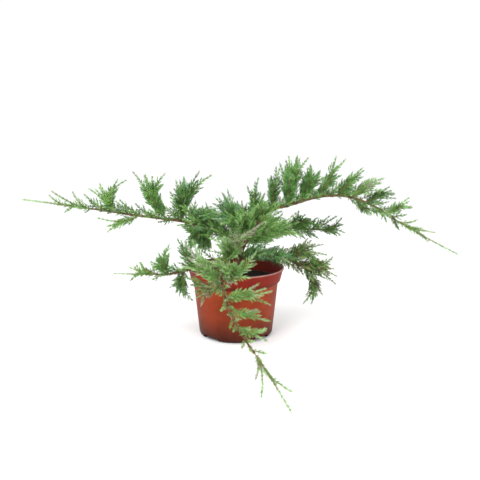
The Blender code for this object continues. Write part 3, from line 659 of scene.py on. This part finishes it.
def sprigTree():
    tree = bpy.data.node_groups.new("sprigsOnPoints", "GeometryNodeTree")
    face = tree.interface
    face.new_socket("Geometry", in_out="INPUT", socket_type="NodeSocketGeometry")
    sockets = {}
    for name, kind in (("Sprigs", "NodeSocketCollection"), ("Foliage", "NodeSocketMaterial"),
                       ("Size", "NodeSocketFloat"), ("Seed", "NodeSocketInt")):
        sockets[name] = face.new_socket(name, in_out="INPUT", socket_type=kind).identifier
    face.new_socket("Geometry", in_out="OUTPUT", socket_type="NodeSocketGeometry")
    nodes = tree.nodes
    links = tree.links
    given = nodes.new("NodeGroupInput")
    result = nodes.new("NodeGroupOutput")
    shapes = nodes.new("GeometryNodeCollectionInfo")
    shapes.inputs["Separate Children"].default_value = True
    shapes.inputs["Reset Children"].default_value = True
    links.new(given.outputs["Sprigs"], shapes.inputs["Collection"])
    pick = nodes.new("FunctionNodeRandomValue")
    pick.data_type = "INT"
    pick.inputs[4].default_value = 0  # lowest whole number
    pick.inputs[5].default_value = sprigShape["variants"] - 1  # highest
    links.new(given.outputs["Seed"], pick.inputs["Seed"])
    reads = {}
    for name, kind, _ in sprigFields:
        node = nodes.new("GeometryNodeInputNamedAttribute")
        node.data_type = kind
        node.inputs["Name"].default_value = name
        reads[name] = node.outputs["Attribute"]
    aimed = nodes.new("FunctionNodeAlignRotationToVector")
    aimed.axis = "Z"
    links.new(reads["aim"], aimed.inputs["Vector"])
    rolled = nodes.new("FunctionNodeAlignRotationToVector")
    rolled.axis = "X"
    rolled.pivot_axis = "Z"
    links.new(aimed.outputs["Rotation"], rolled.inputs["Rotation"])
    links.new(reads["across"], rolled.inputs["Vector"])
    sized = nodes.new("ShaderNodeMath")
    sized.operation = "MULTIPLY"
    links.new(reads["reach"], sized.inputs[0])
    links.new(given.outputs["Size"], sized.inputs[1])
    place = nodes.new("GeometryNodeInstanceOnPoints")
    place.inputs["Pick Instance"].default_value = True
    links.new(given.outputs["Geometry"], place.inputs["Points"])
    links.new(shapes.outputs["Instances"], place.inputs["Instance"])
    links.new(pick.outputs[2], place.inputs["Instance Index"])  # its whole-number output
    links.new(rolled.outputs["Rotation"], place.inputs["Rotation"])
    links.new(sized.outputs[0], place.inputs["Scale"])
    real = nodes.new("GeometryNodeRealizeInstances")
    links.new(place.outputs["Instances"], real.inputs["Geometry"])
    finish = nodes.new("GeometryNodeSetMaterial")
    links.new(real.outputs["Geometry"], finish.inputs["Geometry"])
    links.new(given.outputs["Foliage"], finish.inputs["Material"])
    links.new(finish.outputs["Geometry"], result.inputs["Geometry"])
    return tree, sockets


# Sprays: lengths in mm, and "ripe" runs from 0 at a plume's root to 1 at its tip
sprays = {
    "stemBare": 0.05,  # bare share of a mass's stem
    "plumeBare": 0.03,  # bare share of its other plumes
    "facing": (0.0, -0.85, 0.53),  # where flat sprays turn their faces
    "nodeStep": 7.6,  # from one pair of side shoots to the next
    "nodeRange": (0.85, 1.15),
    "tipGap": 1.5,  # no shoots nearer to the plume's tip
    "sideJitter": 26,  # degrees, for the shoots of a pair
    "faceJitter": 25,  # degrees, for a third shoot at front or back
    "faceReach": 0.62,  # its reach beside theirs
    "wider": 1.18,  # how far side shoots reach past a plume's half width
    "reachRange": (0.62, 1.25),
    "leastReach": 6.0,
    "reachTaper": 0.95,  # longest reach, as a share of what is left of the plume
    "reachSpare": 4.0,  # and so much more
    "bulk": 1.30,
    "bulkFrom": 0.25,  # a plume swells from its root
    "bulkOver": 0.45,
    "bulkTaper": 0.85,  # and narrows to its tip by this power
    "shootAngle": 39.0,  # degrees off the plume's axis at a shoot's root
    "rootAngle": 1.12,  # share of that angle at the plume's root
    "angleLoss": 0.45,  # less so much of it at the plume's tip
    "angleClose": 0.38,  # share that a shoot loses by its own end
    "sprigStep": 8.5,  # from sprig to sprig along a shoot
    "shootGap": 3.5,  # no sprigs nearer to a shoot's end
    "sprigLength": 21.0,
    "sprigRange": (0.8, 1.1),
    "endLength": 1.05,  # longest sprig, as a share of what is left of its shoot
    "endSpare": 8,  # and so many mm more than the next share
    "endShare": 0.7,
    "ruffle": 0.5,  # how far sprigs turn out of the spray's plane
    "axisSprig": 16.0,  # longest sprig on the plume's own axis
    "axisSpare": 5,
    "size": 1.0,
    "perPiece": 3200,  # sprigs in one piece
}


# Each row is one sprig: place, aim, across, length, ripe and share along its shoot
def shootSprigs(spot, along, facing, out, reach, ripe, chance):
    rows = []
    travelled = 0.0
    while travelled < reach - sprays["shootGap"]:
        angle = sprays["shootAngle"] * (sprays["rootAngle"] - sprays["angleLoss"] * ripe)
        angle = math.radians(angle * (1 - sprays["angleClose"] * travelled / reach))
        aim = unit(along * math.cos(angle) + out * math.sin(angle))
        left = reach - travelled
        size = min(sprays["sprigLength"] * chance.uniform(*sprays["sprigRange"]),
                   left * sprays["endLength"], sprays["endSpare"] + left * sprays["endShare"])
        ruffle = sprays["ruffle"] * np.array([chance.uniform(-1, 1) for _ in range(3)])
        rows.append((spot, aim, unit(np.cross(aim, facing) + ruffle), size * mm, ripe, travelled / reach))
        spot = spot + aim * sprays["sprigStep"] * mm
        travelled += sprays["sprigStep"]
    return rows


def plumeSprigs(route, length, halfWidth, bare, chance):
    rows = []
    front = np.array(sprays["facing"])
    lean = math.sin(math.radians(sprays["shootAngle"]))
    arc = bare * length
    hand = 1
    node = 0
    while arc < length - sprays["tipGap"]:
        ripe = (arc - bare * length) / (length * (1 - bare))
        centre = pointAt(route, arc / length)
        along = directionAt(route, arc / length)
        facing = unit(front - along * np.dot(front, along))
        across = np.cross(along, facing)
        swell = min(1.0, (ripe + sprays["bulkFrom"]) / sprays["bulkOver"])
        bulk = sprays["bulk"] * swell * (1 - ripe) ** sprays["bulkTaper"]
        ways = [hand * 90 + chance.gauss(0, sprays["sideJitter"]),
                -hand * 90 + chance.gauss(0, sprays["sideJitter"])]
        if node % 2 == 0:
            ways.append(chance.choice((0, 180)) + chance.gauss(0, sprays["faceJitter"]))
        for order, way in enumerate(ways):
            thin = sprays["faceReach"] if order == 2 else 1.0
            reach = sprays["wider"] * halfWidth * bulk * thin * chance.uniform(*sprays["reachRange"]) / lean
            longest = (length - arc) * sprays["reachTaper"] + sprays["reachSpare"]
            reach = min(max(reach, sprays["leastReach"]), longest)
            turn = math.radians(way)
            out = across * math.sin(turn) + facing * math.cos(turn)
            rows += shootSprigs(centre, along, facing, out, reach, ripe, chance)
        size = min(sprays["axisSprig"], length - arc + sprays["axisSpare"])
        rows.append((centre, along, across, size * mm, ripe, 0.0))
        arc += sprays["nodeStep"] * chance.uniform(*sprays["nodeRange"])
        hand = -hand
        node += 1
    return rows


# How sprays are dealt out among the colours
mixes = {
    "pale": (("pale", 6), ("fresh", 2), ("mid", 1), ("tip", 2)),
    "fresh": (("fresh", 5), ("pale", 2), ("mid", 3)),
    "mid": (("mid", 6), ("fresh", 2), ("blue", 2), ("deep", 1)),
    "blue": (("blue", 6), ("mid", 2), ("pale", 1), ("deep", 1)),
    "deep": (("deep", 4), ("mid", 4), ("blue", 2)),
    "olive": (("olive", 6), ("mid", 2), ("tip", 1), ("deep", 1)),
}
shadowed = {"pale": "mid", "fresh": "mid", "mid": "deep", "blue": "deep", "deep": "dark", "olive": "dusk",
            "tip": "olive"}
dealing = {
    "mainShare": 0.6,  # share of a plume's sprigs in its main colour
    "inner": 0.24,  # depth below which a sprig takes its colour's shadowed one
    "scatter": 0.12,
    "ripeFrom": 0.9,  # where growing tips begin
    "tipShare": 0.4,
}


def dealSprigs():
    dealt = {name: [] for name in greens}
    for name, (tint, routes) in grown.items():
        chance = random.Random(f"{growth['seed']}{name}")
        names = [n for n, _ in mixes[tint]]
        weights = [w for _, w in mixes[tint]]
        for index, (route, length, halfWidth) in enumerate(routes):
            bare = sprays["stemBare"] if index == 0 else sprays["plumeBare"]
            rows = plumeSprigs(route, length, halfWidth, bare, chance)
            main = chance.choices(names, weights)[0]
            for row in rows:
                ripe, outer = row[4:]
                depth = (ripe + outer) / 2 + chance.gauss(0, dealing["scatter"])
                colour = main if chance.random() < dealing["mainShare"] else chance.choices(names, weights)[0]
                if depth < dealing["inner"]:
                    colour = shadowed[colour]
                elif ripe > dealing["ripeFrom"] and chance.random() < dealing["tipShare"]:
                    colour = "tip"
                dealt[colour].append(row)
    return dealt


def sprayPiece(name, chunk, mat, sprigs, tree, sockets):
    mesh = bpy.data.meshes.new(name)
    mesh.from_pydata([tuple(row[0]) for row in chunk], [], [])
    for column, (key, kind, field) in enumerate(sprigFields, 1):
        layer = mesh.attributes.new(key, kind, "POINT")
        layer.data.foreach_set(field, np.array([row[column] for row in chunk], dtype=np.float32).ravel())
    piece = bpy.data.objects.new(name, mesh)
    bpy.context.scene.collection.objects.link(piece)
    modifier = piece.modifiers.new("Sprigs", "NODES")
    modifier.node_group = tree
    modifier[sockets["Sprigs"]] = sprigs
    modifier[sockets["Foliage"]] = mat
    modifier[sockets["Size"]] = sprays["size"]
    modifier[sockets["Seed"]] = growth["seed"]
    bpy.context.view_layer.update()
    graph = bpy.context.evaluated_depsgraph_get()
    real = bpy.data.meshes.new_from_object(piece.evaluated_get(graph))
    piece.modifiers.clear()
    piece.data = real
    real.name = name
    real.shade_smooth()
    return piece


def buildFoliage():
    sprigs = makeSprigs()
    tree, sockets = sprigTree()
    dealt = dealSprigs()
    triangles = 0
    for colour, rows in dealt.items():
        mat = leafMaterial(colour + "Foliage", greens[colour])
        for start in range(0, len(rows), sprays["perPiece"]):
            name = f"{colour}Sprays{start // sprays['perPiece']}"
            piece = sprayPiece(name, rows[start:start + sprays["perPiece"]], mat, sprigs, tree, sockets)
            triangles += sum(len(p.vertices) - 2 for p in piece.data.polygons)
            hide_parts(*[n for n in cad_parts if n.startswith("foliage")])
            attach(piece, "root")
    print("foliage:", sum(len(r) for r in dealt.values()), "sprigs,", triangles, "triangles")


buildFoliage()

# Pot: a turned shell with notches in its foot; an edge holds steps out and up from its corner
potSizes = {
    "height": 0.144,
    "rimRadius": 0.1015,
    "rimEdge": ((-0.0012, 0.0), (-0.0003, -0.0003), (0.0, -0.0010)),
    "lip": 0.003,
    "lipEdge": ((0.0, 0.0), (-0.0012, -0.0006)),
    "collar": 0.027,
    "collarInset": 0.0014,  # how far the collar starts behind the lip
    "collarRadius": 0.094,  # at its foot
    "collarEdge": ((0.0002, 0.0008), (0.0, 0.0), (-0.0006, -0.0006)),
    "bodyTop": 0.0895,
    "bodyEdge": ((0.0004, -0.0010), (0.0, -0.0020)),
    "bodyDrop": 0.002,  # where the body's straight side starts, below the collar
    "bodyFoot": 0.078,
    "footRound": 0.009,
    "footSteps": 8,
    "wall": 0.0022,
    "floor": 0.004,
    "floorRise": 0.006,  # how far the inside of the wall starts above the floor
    "innerEdge": ((-0.0008, -0.0010), (0.0, 0.0)),
    "steps": 128,
    "notches": 4,
    "notchTurn": 45,
    "notchWidth": 0.042,
    "notchHeight": 0.0085,
    "notchDepth": 0.020,
    "notchPast": 0.010,  # how much longer the cutter is than its notch
    "notchRound": 0.004,
    "sharpFrom": 32,  # degrees between faces
}


def fromCorner(radius, height, edge):
    return [(radius + out, height + up) for out, up in edge]


def potProfile():
    s = potSizes
    top, rim, lipFoot = s["height"], s["rimRadius"], s["height"] - s["lip"]
    collarFoot, collarRadius, inset = top - s["collar"], s["collarRadius"], s["collarInset"]
    bodyTop, bodyFoot, drop = s["bodyTop"], s["bodyFoot"], s["bodyDrop"]
    footRound, wall, floor = s["footRound"], s["wall"], s["floor"]
    profile = fromCorner(rim, top, s["rimEdge"]) + fromCorner(rim, lipFoot, s["lipEdge"])
    for share in (0.25, 0.5, 0.75):  # down the collar
        profile.append((rim - inset + (collarRadius - rim + inset) * share,
                        lipFoot - (s["collar"] - s["lip"]) * share))
    profile += fromCorner(collarRadius, collarFoot, s["collarEdge"])
    profile += fromCorner(bodyTop, collarFoot, s["bodyEdge"])
    for share in (0.2, 0.4, 0.6, 0.8):  # and down the body
        profile.append((bodyTop + (bodyFoot - bodyTop) * share,
                        collarFoot - drop + (footRound - collarFoot + drop) * share))
    for step in range(s["footSteps"] + 1):
        angle = math.radians(-4 - 86 * step / s["footSteps"])  # from just below level to straight down
        profile.append((bodyFoot - footRound + footRound * math.cos(angle),
                        footRound + footRound * math.sin(angle)))
    profile += [(0.0, 0.0), (0.0, floor), (bodyFoot - footRound, floor),
                (bodyFoot - wall, floor + s["floorRise"]),
                (bodyTop - wall, collarFoot - drop), (collarRadius - wall, collarFoot + drop)]
    return profile + fromCorner(rim - wall, top, s["innerEdge"])


def lathe(name, profile, steps, mat):
    verts, faces, rings = [], [], []
    for radius, height in profile:
        if radius < 1e-6:
            verts.append((0, 0, height))
            rings.append([len(verts) - 1] * steps)
            continue
        rings.append(list(range(len(verts), len(verts) + steps)))
        for k in range(steps):
            angle = 2 * math.pi * k / steps
            verts.append((radius * math.cos(angle), radius * math.sin(angle), height))
    for upper, lower in zip(rings, rings[1:] + rings[:1]):
        for k in range(steps):
            j = (k + 1) % steps
            corners = list(dict.fromkeys([upper[k], upper[j], lower[j], lower[k]]))
            if len(corners) > 2:
                faces.append(corners)
    piece = meshPiece(name, verts, faces, mat)
    body = bmesh.new()
    body.from_mesh(piece.data)
    bmesh.ops.recalc_face_normals(body, faces=body.faces)
    body.to_mesh(piece.data)
    body.free()
    return piece


def notchCutter(angle):
    s = potSizes
    body = bmesh.new()
    bmesh.ops.create_cube(body, size=1)
    # the notch is open below, so only the upper half of the cutter's height cuts
    sizing = Matrix.Diagonal((s["notchDepth"] + s["notchPast"], s["notchWidth"], s["notchHeight"] * 2, 1))
    radius = s["bodyFoot"] - s["notchDepth"] / 2 + s["notchPast"] / 2
    placing = Matrix.Rotation(angle, 4, "Z") @ Matrix.Translation((radius, 0, 0))
    bmesh.ops.transform(body, matrix=placing @ sizing, verts=body.verts)
    upper = [e for e in body.edges if all(v.co.z > 0 for v in e.verts)]
    bmesh.ops.bevel(body, geom=upper, offset=s["notchRound"], segments=5, affect="EDGES", profile=0.5)
    mesh = bpy.data.meshes.new("notch")
    body.to_mesh(mesh)
    body.free()
    cutter = bpy.data.objects.new("notch", mesh)
    bpy.context.scene.collection.objects.link(cutter)
    return cutter


def buildPot():
    pot = lathe("pottedShell", potProfile(), potSizes["steps"], potMaterial())
    for index in range(potSizes["notches"]):
        cutter = notchCutter(math.radians(potSizes["notchTurn"] + 360 / potSizes["notches"] * index))
        cut = pot.modifiers.new("Notch", "BOOLEAN")
        cut.operation = "DIFFERENCE"
        cut.object = cutter
        bpy.context.view_layer.update()
        real = bpy.data.meshes.new_from_object(pot.evaluated_get(bpy.context.evaluated_depsgraph_get()))
        pot.modifiers.clear()
        pot.data = real
        bpy.data.objects.remove(cutter)
    pot.data.shade_smooth()
    pot.data.set_sharp_from_angle(angle=math.radians(potSizes["sharpFrom"]))
    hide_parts("pot")
    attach(pot, "root")


# Soil: a lumpy disc that falls away a little at the pot's wall
soilShape = {
    "steps": 128,
    "rings": 44,
    "gap": 0.0002,  # to the pot's wall
    "sunk": 0.0014,
    "centreSunk": 0.001,
    "edgeDip": 0.003,
    "edgePower": 6,
    "footInset": 0.008,
    "lumps": ((0.0016, 70, 0), (0.0013, 210, 3)),  # height, noise scale and layer
}


def buildSoil():
    s = soilShape
    low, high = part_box("soil")
    outer = high[0] - s["gap"]
    inner = outer - s["footInset"]
    top, foot = high[2], low[2]
    rings, steps = s["rings"], s["steps"]
    verts = [(0.0, 0.0, top - s["centreSunk"])]
    for ring in range(1, rings + 1):
        radius = outer * ring / rings
        dip = s["edgeDip"] * (ring / rings) ** s["edgePower"]
        for k in range(steps):
            angle = 2 * math.pi * k / steps
            x, y = radius * math.cos(angle), radius * math.sin(angle)
            lump = sum(size * noise.noise(Vector((x, y, layer)) * scale) for size, scale, layer in s["lumps"])
            verts.append((x, y, top - s["sunk"] - dip + lump))
    for k in range(steps):
        angle = 2 * math.pi * k / steps
        verts.append((inner * math.cos(angle), inner * math.sin(angle), foot))
    verts.append((0.0, 0.0, foot))
    faces = [(0, 1 + k, 1 + (k + 1) % steps) for k in range(steps)]
    for ring in range(rings):
        for k in range(steps):
            a, b = 1 + ring * steps + k, 1 + ring * steps + (k + 1) % steps
            faces.append((a, a + steps, b + steps, b))
    last = 1 + rings * steps
    faces += [(last + k, len(verts) - 1, last + (k + 1) % steps) for k in range(steps)]
    piece = meshPiece("pottingMix", verts, faces, soilMaterial())
    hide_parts("soil")
    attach(piece, "root")


buildPot()
buildSoil()
print("pot and soil built")

# Studio: pale floor, white surroundings, soft lights
studio = {
    "floorSize": 9.0, "floorColour": (0.97, 0.97, 0.97), "worldStrength": 1.04, "aim": (0, 0, 0.2),
    "keyPlace": (-1.0, -1.6, 2.0), "keySize": 1.4, "keyPower": 46.0,
    "fillPlace": (1.8, -1.4, 1.1), "fillSize": 1.6, "fillPower": 20.0,
}
view = {"place": (0.0, -1.2, 0.410), "pitch": 9.9, "yaw": 0.42, "focalPixels": 581.0, "imageWidth": 480.0,
        "sensorWidth": 36.0}


def buildStudio():
    half = studio["floorSize"] / 2
    mat, _, shader = newMaterial("paleFloor", roughness=0.9, specular=0.1)
    shader.inputs["Base Color"].default_value = (*studio["floorColour"], 1)
    floor = meshPiece("studioFloor", [(-half, -half, 0), (half, -half, 0), (half, half, 0), (-half, half, 0)],
                      [(0, 1, 2, 3)], mat, False)
    world = bpy.data.worlds.new("softRoom")
    world.use_nodes = True
    world.node_tree.nodes["Background"].inputs["Color"].default_value = (1, 1, 1, 1)
    world.node_tree.nodes["Background"].inputs["Strength"].default_value = studio["worldStrength"]
    bpy.context.scene.world = world
    for name in ("key", "fill"):
        light = bpy.data.lights.new(name, "AREA")
        light.size = studio[name + "Size"]
        light.energy = studio[name + "Power"]
        lamp = bpy.data.objects.new(name, light)
        lamp.location = studio[name + "Place"]
        toward = Vector(studio["aim"]) - lamp.location
        lamp.rotation_euler = toward.to_track_quat("-Z", "Y").to_euler()
        bpy.context.scene.collection.objects.link(lamp)
    camera = bpy.data.cameras.new("photoView")
    camera.sensor_width = view["sensorWidth"]
    camera.lens = view["sensorWidth"] * view["focalPixels"] / view["imageWidth"]
    eye = bpy.data.objects.new("photoView", camera)
    eye.location = view["place"]
    eye.rotation_euler = (math.radians(90 - view["pitch"]), 0, math.radians(-view["yaw"]))
    bpy.context.scene.collection.objects.link(eye)
    bpy.context.scene.camera = eye
    bpy.context.scene.view_settings.view_transform = "Standard"
    bpy.context.scene.view_settings.look = "None"


buildStudio()
print("studio ready")
